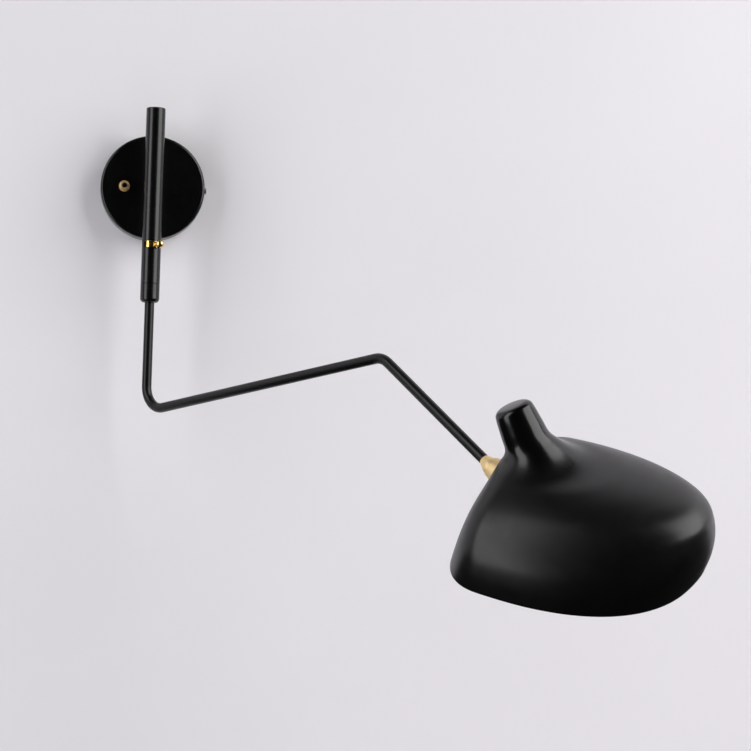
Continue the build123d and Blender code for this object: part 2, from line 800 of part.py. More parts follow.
with BuildPart(cone_plane) as cone_keeper:
    with Locations((0, 0, ball_reach)):
        Sphere(cone_end)
        Sphere(ball_gap_dia / 2, mode=Mode.SUBTRACT)
    with BuildSketch(cone_plane.offset(ball_reach + keeper_start)):
        Circle(2 * cone_end)
    extrude(amount=-2 * cone_end, mode=Mode.SUBTRACT)
    with BuildSketch(cone_plane.offset(ball_reach + keeper_end)):
        Circle(2 * cone_end)
    extrude(amount=2 * cone_end, mode=Mode.SUBTRACT)
    with BuildSketch(cone_plane.offset(ball_reach + keeper_start)):
        Circle(keeper_dia / 2)
        Circle(seat_room / 2, mode=Mode.SUBTRACT)
    extrude(amount=-keeper_spigot)
cone_keeper.part.label = "cone_keeper"
export_step(cone_keeper.part, "parts/cone_keeper.step")

stud_end = nut_face + holder_wall + holder_cap / 2
with BuildPart(stud_plane) as ball_stud:
    Sphere(ball_dia / 2)
    with BuildSketch(stud_plane):
        Circle(stem_dia / 2)
    extrude(amount=stud_end)
    with BuildSketch(stud_plane.offset(cup_floor)):
        Circle(stud_collar_dia / 2)
    extrude(amount=-stud_collar)
    with BuildSketch(stud_plane.offset(-ball_dia)):
        Circle(ball_bore / 2)
    extrude(amount=ball_dia + stud_end, mode=Mode.SUBTRACT)
ball_stud.part.label = "ball_stud"
export_step(ball_stud.part, "parts/ball_stud.step")

cup_back = washer_face - cup_turn_gap
cup_length = cup_back + cup_rim
cup_top = sqrt(cup_room**2 - cup_rim**2) + cup_rim_wall
cup_base = cup_top + cup_length * tan(radians(cup_flare))
with BuildPart(stud_plane) as joint_cup:
    with Locations((0, 0, -cup_rim)):
        Cone(cup_top, cup_base, cup_length, align=(Align.CENTER, Align.CENTER, Align.MIN))
    Sphere(cup_room, mode=Mode.SUBTRACT)
    with BuildSketch(stud_plane.offset(cup_floor)):
        Circle(cup_room)
    extrude(amount=cup_back - cup_floor)
    with BuildSketch(stud_plane.offset(cup_floor)):
        Circle(stem_dia / 2 + slip_gap)
    extrude(amount=cup_back - cup_floor, mode=Mode.SUBTRACT)
joint_cup.part.label = "joint_cup"
export_step(joint_cup.part, "parts/joint_cup.step")


# Shade. Each level is a flat section, from the mouth up over the dome and the knob

def oval(centre, front, back, half_width, squareness):
    """Points of an egg-shaped oval, longer in front of its widest place than behind."""
    power = 2 / (2 + squareness)
    points = []
    for step in range(outline_points):
        angle = 2 * pi * step / outline_points
        along = abs(cos(angle)) ** power
        across = abs(sin(angle)) ** power
        reach = (front - centre) * along if cos(angle) > 0 else -(back + centre) * along
        points.append((centre + reach, half_width * across * (1 if sin(angle) > 0 else -1)))
    return points


def dome_level(rise, inset):
    """Plane and outline of the dome at a share of its height; the upper levels lean back with the knob."""
    neck = knob_neck - inset
    lean = radians(knob_lean * dome_lean_share * rise**dome_lean_onset)
    tuck = front_tuck * max(0, 1 - rise / tuck_rise) ** 2
    front = neck + (shade_front - inset - neck) * (1 - rise**front_fullness) - tuck
    middle_rise = rise - front * sin(lean) / shade_height
    back_rise = middle_rise - neck * sin(lean) / shade_height
    back = neck + (shade_back - inset - neck) * (1 - back_rise)
    half_width = neck + (shade_half_width - inset - neck) * (1 - middle_rise**side_fullness)
    ahead = shade_forward * cos(lean) + shade_up * sin(lean)
    axis = shade_up * cos(lean) - shade_forward * sin(lean)
    tip = shade_origin + shade_up * (rise * (shade_height - inset)) + shade_forward * front
    plane = Plane(origin=tip - ahead * front, x_dir=ahead, z_dir=axis)
    return plane, oval(shade_widest * (1 - rise), front, back, half_width, mouth_squareness * (1 - rise))


def knob_level(along, radius, inset, lean_share=1):
    """Plane and circle of the knob at a distance along its leaning axis."""
    lean = radians(knob_lean * lean_share)
    axis = shade_up * cos(lean) - shade_forward * sin(lean)
    base = shade_origin + shade_up * (shade_height - inset)
    ahead = shade_forward * cos(lean) + shade_up * sin(lean)
    plane = Plane(origin=base + axis * along, x_dir=ahead, z_dir=axis)
    return plane, oval(0, radius - inset, radius - inset, radius - inset, 0)


dome_rises = [0, 0.2, 0.4, 0.58, 0.73, 0.84, 0.91, 0.955, 0.985]
edge_angles = [0, 30, 55, 75, 88]
shank_shares = [0.25, 0.6]
knob_shank = knob_height - knob_edge


def shade_levels(inset):
    """Every level of the shade from mouth to knob, for the outside or drawn in for the inside."""
    levels = [dome_level(rise, inset) for rise in dome_rises]
    corner = neck_fillet * (1 - cos(radians(neck_turn)))
    levels.append(knob_level(corner, knob_neck + corner, inset, neck_lean_share))
    for share in shank_shares:
        levels.append(knob_level(knob_shank * share, knob_neck + (knob_top - knob_neck) * share, inset))
    for angle in edge_angles:
        turn = radians(angle)
        radius = knob_top - knob_edge * (1 - cos(turn))
        levels.append(knob_level(knob_shank + knob_edge * sin(turn), radius, inset))
    return levels


with BuildPart() as shade_form:
    for level_plane, outline in shade_levels(0):
        with BuildSketch(level_plane):
            with BuildLine():
                Spline(*outline, periodic=True)
            make_face()
    loft()

with BuildPart() as shade_hollow:
    for level_plane, outline in shade_levels(shade_wall):
        with BuildSketch(level_plane):
            with BuildLine():
                Spline(*outline, periodic=True)
            make_face()
    loft()

with BuildPart() as shade:
    add(shade_form.part)
    add(shade_hollow.part, mode=Mode.SUBTRACT)
    with BuildSketch(stud_plane):
        Circle(stem_dia / 2 + slip_gap)
    extrude(amount=nut_face, mode=Mode.SUBTRACT)
shade.part.label = "shade"
export_step(shade.part, "parts/shade.step")


# Washers that follow the shade's curve outside and inside, and the nut on the stud

with BuildPart() as outer_washer:
    with BuildSketch(stud_plane.offset(washer_face)):
        Circle(shade_washer_dia / 2)
        Circle(stem_dia / 2 + slip_gap, mode=Mode.SUBTRACT)
    extrude(amount=inner_face - washer_face)
    add(shade_form.part, mode=Mode.SUBTRACT)
outer_washer.part.label = "outer_washer"
export_step(outer_washer.part, "parts/outer_washer.step")

with BuildPart() as inner_washer:
    with BuildSketch(stud_plane.offset(inner_face)):
        Circle(joint_washer_dia / 2)
        Circle(stem_dia / 2 + slip_gap, mode=Mode.SUBTRACT)
    extrude(amount=washer_face - inner_face)
    add(shade_hollow.part, mode=Mode.INTERSECT)
inner_washer.part.label = "inner_washer"
export_step(inner_washer.part, "parts/inner_washer.step")

with BuildPart() as stud_hex_nut:
    with BuildSketch(stud_plane.offset(inner_face)):
        RegularPolygon(stud_nut_across / 2, hex_sides, major_radius=False)
        Circle(stem_dia / 2 + press_gap, mode=Mode.SUBTRACT)
    extrude(amount=stud_nut)
stud_hex_nut.part.label = "stud_nut"
export_step(stud_hex_nut.part, "parts/stud_nut.step")


# Lampholder: cap, skirt, screw shell and centre contact

with BuildPart() as holder_cap_cup:
    with BuildSketch(stud_plane.offset(nut_face)):
        Circle(holder_dia / 2)
    extrude(amount=holder_cap)
    with BuildSketch(stud_plane.offset(nut_face + holder_wall)):
        Circle(holder_dia / 2 - holder_wall)
    extrude(amount=holder_cap, mode=Mode.SUBTRACT)
    with BuildSketch(stud_plane.offset(nut_face)):
        Circle(stem_dia / 2 + running_gap)
    extrude(amount=holder_cap, mode=Mode.SUBTRACT)
holder_cap_cup.part.label = "holder_cap"
export_step(holder_cap_cup.part, "parts/holder_cap.step")

with BuildPart() as holder_body:
    with BuildSketch(stud_plane.offset(skirt_start)):
        Circle(holder_dia / 2)
    extrude(amount=holder_skirt)
    fillet(holder_body.edges(), radius=holder_rim)
    with BuildSketch(stud_plane.offset(shell_start)):
        Circle(thread_shell_dia / 2 + press_gap)
    extrude(amount=holder_skirt, mode=Mode.SUBTRACT)
holder_body.part.label = "holder_body"
export_step(holder_body.part, "parts/holder_body.step")

with BuildPart() as holder_shell:
    with BuildSketch(stud_plane.offset(shell_start)):
        Circle(thread_shell_dia / 2)
        Circle(thread_shell_dia / 2 - thread_shell_wall, mode=Mode.SUBTRACT)
    extrude(amount=thread_shell_length)
holder_shell.part.label = "holder_shell"
export_step(holder_shell.part, "parts/holder_shell.step")

with BuildPart() as holder_contact:
    with BuildSketch(stud_plane.offset(shell_start)):
        Circle(contact_dia / 2)
    extrude(amount=contact_height)
holder_contact.part.label = "holder_contact"
export_step(holder_contact.part, "parts/holder_contact.step")


# Bulb: metal cap and glass

with BuildPart() as bulb_cap:
    with BuildSketch(stud_plane.offset(bulb_start)):
        Circle(bulb_tip_dia / 2)
    with BuildSketch(stud_plane.offset(bulb_start + bulb_tip)):
        Circle(bulb_cap_dia / 2)
    loft()
    with BuildSketch(stud_plane.offset(bulb_start + bulb_tip)):
        Circle(bulb_cap_dia / 2)
    extrude(amount=bulb_cap_length)
bulb_cap.part.label = "bulb_cap"
export_step(bulb_cap.part, "parts/bulb_cap.step")

bulb_radius = bulb_dia / 2
bulb_top = (0, bulb_centre + bulb_radius)
shoulder = radians(bulb_shoulder)
shoulder_point = (bulb_radius * cos(shoulder), bulb_centre - bulb_radius * sin(shoulder))
glass_foot = ball_centre + stud_dir * glass_start
glass_plane = Plane(origin=glass_foot, x_dir=stud_plane.x_dir, z_dir=stud_plane.y_dir * -1)
with BuildPart() as bulb_glass:
    with BuildSketch(glass_plane):
        with BuildLine():
            Line((0, 0), (bulb_neck_dia / 2, 0))
            Spline(
                (bulb_neck_dia / 2, 0),
                shoulder_point,
                tangents=[(0, 1), (sin(shoulder), cos(shoulder))],
            )
            ThreePointArc(shoulder_point, (bulb_radius, bulb_centre), bulb_top)
            Line(bulb_top, (0, 0))
        make_face()
    revolve(axis=Axis(glass_foot, stud_dir))
bulb_glass.part.label = "bulb_glass"
export_step(bulb_glass.part, "parts/bulb_glass.step")
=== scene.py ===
"""Looks of the adjustable wall lamp.

The scene is in metres. The lamp's sizes are in millimetres, those of the stage and the lights in metres.
"""

from math import cos, pi, radians, sin

import bpy
from mathutils import Matrix, Vector


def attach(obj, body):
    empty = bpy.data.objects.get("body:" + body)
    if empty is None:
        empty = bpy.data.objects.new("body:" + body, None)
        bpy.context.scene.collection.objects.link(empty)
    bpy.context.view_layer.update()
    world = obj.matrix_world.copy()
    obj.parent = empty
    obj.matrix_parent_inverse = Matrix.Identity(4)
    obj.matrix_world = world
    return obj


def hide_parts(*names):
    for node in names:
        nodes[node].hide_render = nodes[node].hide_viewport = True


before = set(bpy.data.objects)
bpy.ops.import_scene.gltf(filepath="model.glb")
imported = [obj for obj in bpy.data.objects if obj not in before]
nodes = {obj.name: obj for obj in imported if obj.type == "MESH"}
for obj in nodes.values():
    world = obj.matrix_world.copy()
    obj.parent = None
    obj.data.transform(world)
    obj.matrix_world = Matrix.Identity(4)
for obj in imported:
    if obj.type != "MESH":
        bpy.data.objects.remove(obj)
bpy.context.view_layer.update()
MM = 0.001
Y_AXIS = Vector((0, 1, 0))
Z_AXIS = Vector((0, 0, 1))


# Arm sizes

TUBE_STANDOFF = 52.0
ARM_TURN = radians(52)
BEND_LOW = -238.0
RUN_OUT = 345.0
RUN_RISE = 52.5
RUN_END = 133.0
RUN_DROP = 94.0
BALL_REACH = 10.0


# Places and directions of the arm in the lamp's own frame

TUBE_AXIS = Vector((0, -TUBE_STANDOFF, 0))
ARM_DIR = Vector((cos(ARM_TURN), -sin(ARM_TURN), 0))
ROD_END = TUBE_AXIS + ARM_DIR * (RUN_OUT + RUN_END) + Z_AXIS * (BEND_LOW + RUN_RISE - RUN_DROP)
ROD_DIR = (ARM_DIR * RUN_END - Z_AXIS * RUN_DROP).normalized()
BALL = ROD_END + ROD_DIR * BALL_REACH


# Shade sizes

FRONT = 171.4
FRONT_TUCK = 11.0
TUCK_RISE = 0.54
BACK = 53.6
HALF_WIDTH = 104.0
WIDEST = 7.9
HEIGHT = 88.7
WALL = 1.4
FRONT_FULLNESS = 12.7
SIDE_FULLNESS = 3.25
SQUARENESS = 0.4
NECK = 22.4
KNOB_TOP = 17.9
KNOB_HEIGHT = 44.6
KNOB_EDGE = 7.1
KNOB_LEAN = 26.0
NECK_FILLET = 9.8
NECK_TURN = radians(45)
NECK_LEAN_SHARE = 0.87
DOME_LEAN_RATE = 0.5
DOME_LEAN_SHARE = DOME_LEAN_RATE * HEIGHT / FRONT
DOME_LEAN_ONSET = 3
LIP_BULGE = WALL / 4
JOINT_HEIGHT = 57.4
JOINT_OFFSET = 9.3
YAW = radians(38)
PITCH = radians(-13.0)
ROLL = radians(27.5)


# Places and directions of the shade

FORWARD = Vector((cos(PITCH) * cos(YAW), -cos(PITCH) * sin(YAW), sin(PITCH)))
LEVEL = Vector((-sin(PITCH) * cos(YAW), sin(PITCH) * sin(YAW), cos(PITCH)))
UP = Matrix.Rotation(ROLL, 3, FORWARD) @ LEVEL
SIDE = UP.cross(FORWARD)
SLANT = Vector((BACK - NECK, HEIGHT)).normalized()
STUD_DIR = FORWARD * SLANT.y - UP * SLANT.x
BACK_FOOT = NECK + (BACK - NECK) * (1 - JOINT_HEIGHT / HEIGHT)
SHADE_ORIGIN = BALL + STUD_DIR * JOINT_OFFSET + FORWARD * BACK_FOOT - UP * JOINT_HEIGHT


# Layers that the materials are made of; a noise is used between its two limits

NOISE_LOW = 0.3
NOISE_HIGH = 0.7


def new_material(name):
    """A node material, with its tree and its shader."""
    mat = bpy.data.materials.new(name)
    mat.use_nodes = True
    tree = mat.node_tree
    return mat, tree, tree.nodes["Principled BSDF"]


def link(tree, output, socket):
    """Joins an output to an input."""
    tree.links.new(output, socket)


def noise(tree, scale, detail, rough=0.5):
    """Noise over the piece's own coordinates, so it stays on the piece when that moves."""
    where = tree.nodes.new("ShaderNodeTexCoord")
    node = tree.nodes.new("ShaderNodeTexNoise")
    node.inputs["Scale"].default_value = scale
    node.inputs["Detail"].default_value = detail
    node.inputs["Roughness"].default_value = rough
    link(tree, where.outputs["Object"], node.inputs["Vector"])
    return node.outputs["Fac"]


def clouded_colour(tree, shader, dark, light, scale, detail):
    """A colour that wanders between a dark and a light tone."""
    ramp = tree.nodes.new("ShaderNodeValToRGB")
    low, high = ramp.color_ramp.elements
    low.position = NOISE_LOW
    low.color = (*dark, 1)
    high.position = NOISE_HIGH
    high.color = (*light, 1)
    link(tree, noise(tree, scale, detail), ramp.inputs["Fac"])
    link(tree, ramp.outputs["Color"], shader.inputs["Base Color"])


def uneven_gloss(tree, shader, rough_low, rough_high, scale, detail, rough=0.5):
    """A roughness that wanders between two limits; gives back the noise that it follows."""
    value = noise(tree, scale, detail, rough)
    spread = tree.nodes.new("ShaderNodeMapRange")
    spread.inputs["From Min"].default_value = NOISE_LOW
    spread.inputs["From Max"].default_value = NOISE_HIGH
    spread.inputs["To Min"].default_value = rough_low
    spread.inputs["To Max"].default_value = rough_high
    link(tree, value, spread.inputs["Value"])
    link(tree, spread.outputs["Result"], shader.inputs["Roughness"])
    return value


def bumped(tree, shader, height, depth):
    """Bump of a given depth in metres."""
    node = tree.nodes.new("ShaderNodeBump")
    node.inputs["Strength"].default_value = 1.0
    node.inputs["Distance"].default_value = depth
    link(tree, height, node.inputs["Height"])
    link(tree, node.outputs["Normal"], shader.inputs["Normal"])


def along_axis(tree, axis, start):
    """How far a point of the piece lies along an axis from a start, in metres."""
    where = tree.nodes.new("ShaderNodeTexCoord")
    shift = tree.nodes.new("ShaderNodeVectorMath")
    shift.operation = "SUBTRACT"
    shift.inputs[1].default_value = start * MM
    link(tree, where.outputs["Object"], shift.inputs[0])
    along = tree.nodes.new("ShaderNodeVectorMath")
    along.operation = "DOT_PRODUCT"
    along.inputs[1].default_value = axis
    link(tree, shift.outputs["Vector"], along.inputs[0])
    return along.outputs["Value"]


def turning_marks(tree, axis, start, pitch):
    """Fine rings about an axis, as a lathe leaves them; the pitch is in millimetres."""
    marks = tree.nodes.new("ShaderNodeTexNoise")
    marks.noise_dimensions = "1D"
    marks.inputs["Scale"].default_value = 1 / (pitch * MM)
    marks.inputs["Detail"].default_value = 2.0
    link(tree, along_axis(tree, axis, start), marks.inputs["W"])
    return marks.outputs["Fac"]


# Kinds of material

def lacquer(name, dark, light, rough_low, rough_high, peel_scale, peel_depth, sheen):
    """Sprayed lacquer: faint clouding, uneven gloss and an orange-peel skin."""
    mat, tree, shader = new_material(name)
    clouded_colour(tree, shader, dark, light, scale=38.0, detail=4.0)
    uneven_gloss(tree, shader, rough_low, rough_high, scale=95.0, detail=5.0, rough=0.6)
    bumped(tree, shader, noise(tree, scale=peel_scale, detail=2.0), peel_depth)
    shader.inputs["Specular IOR Level"].default_value = sheen
    return mat


def turned_metal(name, dark, light, rough_low, rough_high, axis, start, pitch, depth, metal=1.0):
    """Metal with fine turning marks around an axis."""
    mat, tree, shader = new_material(name)
    shader.inputs["Metallic"].default_value = metal
    clouded_colour(tree, shader, dark, light, scale=160.0, detail=4.0)
    uneven_gloss(tree, shader, rough_low, rough_high, scale=420.0, detail=4.0)
    bumped(tree, shader, turning_marks(tree, axis, start, pitch), depth)
    return mat


def plain_metal(name, dark, light, rough_low, rough_high, grain):
    """Plated or drawn metal with a fine uneven grain."""
    mat, tree, shader = new_material(name)
    shader.inputs["Metallic"].default_value = 1.0
    clouded_colour(tree, shader, dark, light, scale=140.0, detail=4.0)
    uneven_gloss(tree, shader, rough_low, rough_high, scale=600.0, detail=5.0)
    bumped(tree, shader, noise(tree, scale=1800.0, detail=2.0), grain)
    return mat


def moulded(name, dark, light, rough_low, rough_high, grain):
    """Moulded plastic or rubber with a fine spark-eroded grain."""
    mat, tree, shader = new_material(name)
    clouded_colour(tree, shader, dark, light, scale=60.0, detail=3.0)
    uneven_gloss(tree, shader, rough_low, rough_high, scale=300.0, detail=4.0)
    bumped(tree, shader, noise(tree, scale=2600.0, detail=2.0), grain)
    return mat


def opal_glass(name):
    """Frosted bulb glass, faintly clouded."""
    mat, tree, shader = new_material(name)
    clouded_colour(tree, shader, (0.88, 0.86, 0.81), (0.95, 0.94, 0.9), scale=45.0, detail=4.0)
    frost = uneven_gloss(tree, shader, rough_low=0.26, rough_high=0.38, scale=900.0, detail=4.0)
    bumped(tree, shader, frost, depth=0.00002)
    shader.inputs["Transmission Weight"].default_value = 0.3
    shader.inputs["IOR"].default_value = 1.48
    return mat


# Paints

gloss_black = lacquer(
    "gloss_black", dark=(0.0010, 0.0010, 0.0012), light=(0.0018, 0.0018, 0.0020),
    rough_low=0.22, rough_high=0.28, peel_scale=520.0, peel_depth=0.00001, sheen=0.45,
)
satin_black = lacquer(
    "satin_black", dark=(0.0010, 0.0010, 0.0011), light=(0.0017, 0.0017, 0.0018),
    rough_low=0.33, rough_high=0.38, peel_scale=1400.0, peel_depth=0.000008, sheen=0.42,
)
rod_black = lacquer(
    "rod_black", dark=(0.0012, 0.0012, 0.0013), light=(0.0020, 0.0020, 0.0021),
    rough_low=0.30, rough_high=0.36, peel_scale=1100.0, peel_depth=0.000012, sheen=0.35,
)
shade_white = lacquer(
    "shade_white", dark=(0.80, 0.79, 0.76), light=(0.86, 0.85, 0.82),
    rough_low=0.42, rough_high=0.50, peel_scale=1400.0, peel_depth=0.000012, sheen=0.5,
)


# Metals

ring_brass = turned_metal(
    "ring_brass", dark=(0.80, 0.52, 0.16), light=(0.90, 0.62, 0.22), rough_low=0.12, rough_high=0.20,
    axis=Z_AXIS, start=TUBE_AXIS, pitch=0.25, depth=0.000006,
)
ball_brass = plain_metal(
    "ball_brass", dark=(0.82, 0.56, 0.22), light=(0.92, 0.68, 0.32), rough_low=0.12, rough_high=0.20,
    grain=0.000002,
)
cone_brass = turned_metal(
    "cone_brass", dark=(0.82, 0.60, 0.28), light=(0.90, 0.69, 0.36), rough_low=0.42, rough_high=0.52,
    axis=ROD_DIR, start=ROD_END, pitch=0.3, depth=0.00001, metal=0.4,
)
collar_brass = turned_metal(
    "collar_brass", dark=(0.84, 0.60, 0.28), light=(0.92, 0.69, 0.36), rough_low=0.30, rough_high=0.38,
    axis=Y_AXIS, start=TUBE_AXIS, pitch=0.3, depth=0.000006, metal=0.6,
)
contact_brass = plain_metal(
    "contact_brass", dark=(0.70, 0.50, 0.20), light=(0.82, 0.62, 0.30), rough_low=0.25, rough_high=0.38,
    grain=0.000004,
)
zinc_steel = plain_metal(
    "zinc_steel", dark=(0.52, 0.53, 0.54), light=(0.66, 0.66, 0.66), rough_low=0.26, rough_high=0.40,
    grain=0.000005,
)
bulb_metal = plain_metal(
    "bulb_metal", dark=(0.62, 0.62, 0.61), light=(0.74, 0.74, 0.73), rough_low=0.24, rough_high=0.36,
    grain=0.000004,
)


# Plastics and glass

black_plastic = moulded(
    "black_plastic", dark=(0.016, 0.016, 0.017), light=(0.024, 0.024, 0.025),
    rough_low=0.34, rough_high=0.46, grain=0.000008,
)
pale_plastic = moulded(
    "pale_plastic", dark=(0.70, 0.68, 0.61), light=(0.78, 0.76, 0.70),
    rough_low=0.38, rough_high=0.50, grain=0.000008,
)
lead_plastic = moulded(
    "lead_plastic", dark=(0.040, 0.040, 0.042), light=(0.060, 0.060, 0.062),
    rough_low=0.40, rough_high=0.52, grain=0.000006,
)
bulb_glass = opal_glass("bulb_glass")


# Gloss of the knob, which the shade's paint reaches a few millimetres above the neck

KNOB_BLEND = 6.0
KNOB_ROUGH = 0.2


def glossier_knob(mat):
    """Gives the shade's paint a higher gloss on the knob than on the dome."""
    tree = mat.node_tree
    rough = tree.nodes["Principled BSDF"].inputs["Roughness"]
    dome_rough = rough.links[0].from_socket
    change = tree.nodes.new("ShaderNodeMapRange")
    change.inputs["From Min"].default_value = -KNOB_BLEND * MM
    change.inputs["From Max"].default_value = KNOB_BLEND * MM
    change.inputs["To Max"].default_value = KNOB_ROUGH
    link(tree, along_axis(tree, UP, SHADE_ORIGIN + UP * HEIGHT), change.inputs["Value"])
    link(tree, dome_rough, change.inputs["To Min"])
    link(tree, change.outputs["Result"], rough)


glossier_knob(satin_black)


# Which CAD node has which material

FINISHES = {
    gloss_black: "canopy pivot_tube tube_top_plug swivel_sleeve sleeve_cap tube_post switch_button",
    satin_black: "shade",
    rod_black: "arm_rod",
    ring_brass: "lock_ring",
    ball_brass: "lock_screw ball_stud",
    collar_brass: "switch_collar switch_washer",
    cone_brass: "joint_cone cone_keeper joint_cup",
    contact_brass: "terminal_screws switch_tags holder_shell holder_contact sleeve_bush",
    zinc_steel: (
        "wall_bracket canopy_side_screw earth_screw post_washer post_nut pivot_spindle spindle_washer"
        " spindle_nut cap_grub_screw outer_washer inner_washer stud_nut"
    ),
    black_plastic: "switch_body holder_cap holder_body",
    pale_plastic: "terminal_block ball_seat",
    lead_plastic: "tube_lead arm_lead shade_lead switch_leads",
    bulb_metal: "bulb_cap",
    bulb_glass: "bulb_glass",
}


def finish_node(name, mat):
    """Gives a CAD node its material."""
    node = nodes[name]
    if not node.material_slots:
        node.data.materials.append(mat)
    for slot in node.material_slots:
        slot.material = mat


for mat, names in FINISHES.items():
    for name in names.split():
        finish_node(name, mat)


# Meshes of the scene's own, for the shade and the stage

def smooth_object(name, points, faces, materials):
    """A smooth-shaded mesh object in the scene."""
    mesh = bpy.data.meshes.new(name)
    mesh.from_pydata(points, [], faces)
    for mat in materials:
        mesh.materials.append(mat)
    for face in mesh.polygons:
        face.use_smooth = True
    made = bpy.data.objects.new(name, mesh)
    bpy.context.scene.collection.objects.link(made)
    return made


# Shade: one thin closed skin through the same levels as the solid, black outside and white inside

AROUND = 192  # points of a ring
BETWEEN = 7  # rings from one level to the next
DOME_RISES = (0, 0.2, 0.4, 0.58, 0.73, 0.84, 0.91, 0.955, 0.985)
SHANK_SHARES = (0.25, 0.6)
EDGE_DEGREES = (0, 30, 55, 75, 88)
LIP_DEGREES = (30, 60, 90, 120, 150)


def oval(centre, front, back, half_width, squareness):
    """Points of an egg-shaped oval."""
    power = 2 / (2 + squareness)
    points = []
    for step in range(AROUND):
        turn = 2 * pi * step / AROUND
        along = abs(cos(turn)) ** power
        across = abs(sin(turn)) ** power
        reach = (front - centre) * along if cos(turn) > 0 else -(back + centre) * along
        points.append((centre + reach, half_width * across * (1 if sin(turn) > 0 else -1)))
    return points


def dome_level(rise, inset):
    """Points of the dome at a share of its height; the upper levels lean back with the knob."""
    neck = NECK - inset
    lean = radians(KNOB_LEAN * DOME_LEAN_SHARE * rise**DOME_LEAN_ONSET)
    tuck = FRONT_TUCK * max(0, 1 - rise / TUCK_RISE) ** 2
    front = neck + (FRONT - inset - neck) * (1 - rise**FRONT_FULLNESS) - tuck
    middle_rise = rise - front * sin(lean) / HEIGHT
    back_rise = middle_rise - neck * sin(lean) / HEIGHT
    back = neck + (BACK - inset - neck) * (1 - back_rise)
    half_width = neck + (HALF_WIDTH - inset - neck) * (1 - middle_rise**SIDE_FULLNESS)
    ahead = FORWARD * cos(lean) + UP * sin(lean)
    base = SHADE_ORIGIN + UP * (rise * (HEIGHT - inset)) + (FORWARD - ahead) * front
    outline = oval(WIDEST * (1 - rise), front, back, half_width, SQUARENESS * (1 - rise))
    return [base + ahead * x + SIDE * y for x, y in outline]


def knob_level(along, radius, inset, lean_share=1):
    """Points of the knob at a distance along its leaning axis."""
    lean = radians(KNOB_LEAN * lean_share)
    axis = UP * cos(lean) - FORWARD * sin(lean)
    ahead = FORWARD * cos(lean) + UP * sin(lean)
    base = SHADE_ORIGIN + UP * (HEIGHT - inset) + axis * along
    reach = radius - inset
    return [base + ahead * x + SIDE * y for x, y in oval(0, reach, reach, reach, 0)]


def shade_levels(inset):
    """The levels that the skin passes through, from the mouth to the knob's top."""
    levels = [dome_level(rise, inset) for rise in DOME_RISES]
    corner = NECK_FILLET * (1 - cos(NECK_TURN))
    levels.append(knob_level(corner, NECK + corner, inset, NECK_LEAN_SHARE))
    shank = KNOB_HEIGHT - KNOB_EDGE
    for share in SHANK_SHARES:
        levels.append(knob_level(shank * share, NECK + (KNOB_TOP - NECK) * share, inset))
    for degrees in EDGE_DEGREES:
        turn = radians(degrees)
        radius = KNOB_TOP - KNOB_EDGE * (1 - cos(turn))
        levels.append(knob_level(shank + KNOB_EDGE * sin(turn), radius, inset))
    return levels


def smooth_run(points):
    """A centripetal spline through a run of points, with extra points between them."""
    ends = [points[0] * 2 - points[1]] + points + [points[-1] * 2 - points[-2]]
    run = []
    for k in range(1, len(ends) - 2):
        a, b, c, d = ends[k - 1:k + 3]
        t1 = (b - a).length ** 0.5
        t2 = t1 + (c - b).length ** 0.5
        t3 = t2 + (d - c).length ** 0.5
        for step in range(BETWEEN):
            t = t1 + (t2 - t1) * step / BETWEEN
            ab = a * ((t1 - t) / t1) + b * (t / t1)
            bc = b * ((t2 - t) / (t2 - t1)) + c * ((t - t1) / (t2 - t1))
            cd = c * ((t3 - t) / (t3 - t2)) + d * ((t - t2) / (t3 - t2))
            abc = ab * ((t2 - t) / t2) + bc * (t / t2)
            bcd = bc * ((t3 - t) / (t3 - t1)) + cd * ((t - t1) / (t3 - t1))
            run.append(abc * ((t2 - t) / (t2 - t1)) + bcd * ((t - t1) / (t2 - t1)))
    run.append(points[-1])
    return run


def skin_rings(inset):
    """Rings of points up one side of the shade's skin."""
    levels = shade_levels(inset)
    runs = [smooth_run([level[step] for level in levels]) for step in range(AROUND)]
    return [[run[k] for run in runs] for k in range(len(runs[0]))]


def lip_rings(outer_edge, inner_edge):
    """Rings that round the mouth's lip, from its outer to its inner edge."""
    lip = []
    for degrees in LIP_DEGREES:
        turn = radians(degrees)
        share = (1 - cos(turn)) / 2
        drop = UP * (sin(turn) * LIP_BULGE)
        lip.append([o.lerp(i, share) - drop for o, i in zip(outer_edge, inner_edge)])
    return lip


def side_faces(ring_count):
    """Faces with four corners from each ring to the next."""
    faces = []
    for ring in range(ring_count - 1):
        near = ring * AROUND
        far = near + AROUND
        for step in range(AROUND):
            ahead = (step + 1) % AROUND
            faces.append((near + step, far + step, far + ahead, near + ahead))
    return faces


def end_faces(ring, hub, turned):
    """A fan of faces that closes a ring about the point in its middle."""
    faces = []
    for step in range(AROUND):
        a = ring * AROUND + step
        b = ring * AROUND + (step + 1) % AROUND
        faces.append((hub, b, a) if turned else (hub, a, b))
    return faces


def shade_skin():
    """The shade as one closed mesh with a rounded lip."""
    outer = skin_rings(0)
    inner = skin_rings(WALL)
    lip = lip_rings(outer[0], inner[0])
    rings = outer[::-1] + lip + inner
    points = [p * MM for ring in rings for p in ring]
    faces = side_faces(len(rings))
    first_white = (len(outer) + len(lip) - 1) * AROUND
    white = [number >= first_white for number in range(len(faces))]
    for ring, is_inner in ((0, False), (len(rings) - 1, True)):
        middle = sum(rings[ring], Vector()) / AROUND
        faces += end_faces(ring, len(points), is_inner)
        points.append(middle * MM)
        white += [is_inner] * AROUND
    piece = smooth_object("shade_skin", points, faces, [satin_black, shade_white])
    for face, is_white in zip(piece.data.polygons, white):
        face.material_index = 1 if is_white else 0
    piece.data.validate()
    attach(piece, "shade_unit")
    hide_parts("shade")


shade_skin()


# Wall behind the lamp, and a floor that curves up to it; the floor is left out of reflections

